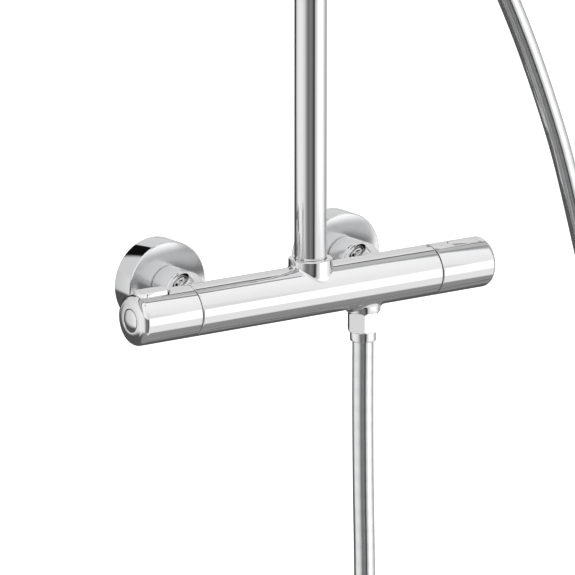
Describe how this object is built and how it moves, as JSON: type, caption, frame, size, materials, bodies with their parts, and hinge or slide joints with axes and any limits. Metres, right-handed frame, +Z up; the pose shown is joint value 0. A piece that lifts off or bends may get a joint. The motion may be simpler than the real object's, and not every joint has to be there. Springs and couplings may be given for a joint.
{
  "type": "rainfall shower column",
  "caption": "Wall-mounted thermostatic shower column with riser, swivelling arm, round rain head, sliding hand shower and hose.",
  "frame": {"origin": "on the wall plane, midway between the two supply unions, at the height of the mixer bar axis", "axes": "+X to the right along the wall, +Y into the wall, +Z up"},
  "size_m": [0.4109, 0.592, 1.6686],
  "materials": {
    "chrome": "polished chrome plate",
    "chromed_plastic": "chrome-plated ABS, polished",
    "brass": "machined brass",
    "steel": "stainless steel",
    "rubber": "moulded rubber",
    "grey_plastic": "moulded acetal",
    "white_plastic": "moulded ABS, satin",
    "hose": "smooth silver PVC hose, glossy"
  },
  "bodies": {
    "root": {"s_union_right": "brass", "s_union_left": "brass", "escutcheon_right": "chrome", "escutcheon_left": "chrome", "union_nut_right": "chrome", "union_nut_left": "chrome", "check_valve_right": "grey_plastic", "check_valve_left": "grey_plastic", "service_plug_right": "chrome", "service_plug_left": "chrome", "mixer_body": "chrome", "outlet_nipple": "brass", "thermostat_cartridge": "white_plastic", "diverter_cartridge": "white_plastic", "cartridge_nut_right": "brass", "cartridge_nut_left": "brass", "stop_ring_right": "grey_plastic", "stop_ring_left": "grey_plastic", "riser_seal": "rubber", "riser_lower": "chrome", "riser_coupling": "brass", "riser_upper": "chrome", "bracket_rosette": "chrome", "bracket_arm": "chrome", "arm_swivel_nut": "chrome", "shower_hose": "hose", "hose_nut_lower": "chrome", "hose_washer_lower": "rubber", "hose_ferrule_lower": "chrome"},
    "temperature": {"temperature_handle": "chrome", "temperature_spline": "brass", "temperature_screw": "steel", "temperature_cap": "chrome", "temperature_button_spring": "steel"},
    "temperature_button": {"temperature_button": "chrome"},
    "spindle": {"thermostat_spindle": "brass"},
    "flow": {"flow_handle": "chrome", "flow_spline": "brass", "flow_screw": "steel", "flow_cap": "chrome", "flow_grip_spring": "steel"},
    "flow_grip": {"flow_grip": "chrome"},
    "arm": {"shower_arm": "chrome", "ball_stud": "chrome"},
    "ball_liner": {"ball_liner": "grey_plastic"},
    "head": {"ball_nut": "chrome", "head_shell": "chrome", "head_nozzle_mat": "rubber", "head_spray_plate": "chrome"},
    "slider": {"slider_body": "chrome"},
    "knob": {"slider_knob": "chrome", "slider_clamp_screw": "steel"},
    "handset": {"handset_holder": "chrome", "hose_cone_nut": "chrome", "hose_washer_upper": "rubber", "hose_ferrule_upper": "chrome", "handset_body": "chromed_plastic", "handset_face": "white_plastic"},
    "selector": {"handset_selector": "chromed_plastic"}
  },
  "joints": [
    {"name": "temperature_turn", "type": "hinge", "parent": "root", "child": "temperature", "pos_m": [0.125, -0.085, 0], "axis": [1, 0, 0], "range_deg": [-135, 105]},
    {"name": "temperature_press", "type": "slide", "parent": "temperature", "child": "temperature_button", "axis": [0, 0.1392, -0.9903], "range_m": [0, 0.0015], "stiffness_N_per_m": 900, "springref_m": -0.001, "deforming": ["temperature_button_spring"]},
    {"name": "spindle_travel", "type": "slide", "parent": "root", "child": "spindle", "axis": [1, 0, 0], "range_m": [-0.0012, 0.001]},
    {"name": "flow_turn", "type": "hinge", "parent": "root", "child": "flow", "pos_m": [-0.125, -0.085, 0], "axis": [1, 0, 0], "range_deg": [-90, 90]},
    {"name": "flow_press", "type": "slide", "parent": "flow", "child": "flow_grip", "axis": [0, 0.1392, -0.9903], "range_m": [0, 0.0015], "stiffness_N_per_m": 900, "springref_m": -0.001, "deforming": ["flow_grip_spring"]},
    {"name": "arm_swivel", "type": "hinge", "parent": "root", "child": "arm", "pos_m": [0, -0.085, 1.01], "axis": [0, 0, 1], "range_deg": [-75, 75]},
    {"name": "head_tilt", "type": "hinge", "parent": "arm", "child": "ball_liner", "pos_m": [0, -0.475, 1.062], "axis": [1, 0, 0], "range_deg": [-15, 15]},
    {"name": "head_roll", "type": "hinge", "parent": "ball_liner", "child": "head", "pos_m": [0, -0.475, 1.062], "axis": [0, 1, 0], "range_deg": [-15, 15]},
    {"name": "slider_slide", "type": "slide", "parent": "root", "child": "slider", "axis": [0, 0, 1], "range_m": [-0.3, 0.25], "deforming": ["shower_hose"]},
    {"name": "knob_turn", "type": "hinge", "parent": "slider", "child": "knob", "pos_m": [-0.04, -0.085, 0.6], "axis": [1, 0, 0], "range_deg": [0, 90]},
    {"name": "holder_tilt", "type": "hinge", "parent": "slider", "child": "handset", "pos_m": [0.046, -0.085, 0.6], "axis": [1, 0, 0], "range_deg": [-12, 20], "deforming": ["shower_hose"]},
    {"name": "selector_turn", "type": "hinge", "parent": "handset", "child": "selector", "pos_m": [0.046, -0.16474, 0.8126], "axis": [0, -0.8192, -0.5736], "range_deg": [-30, 30]}
  ],
  "couplings": [
    {"joint": "spindle_travel", "follows": "temperature_turn", "m_per_rad": 0.000477}
  ]
}
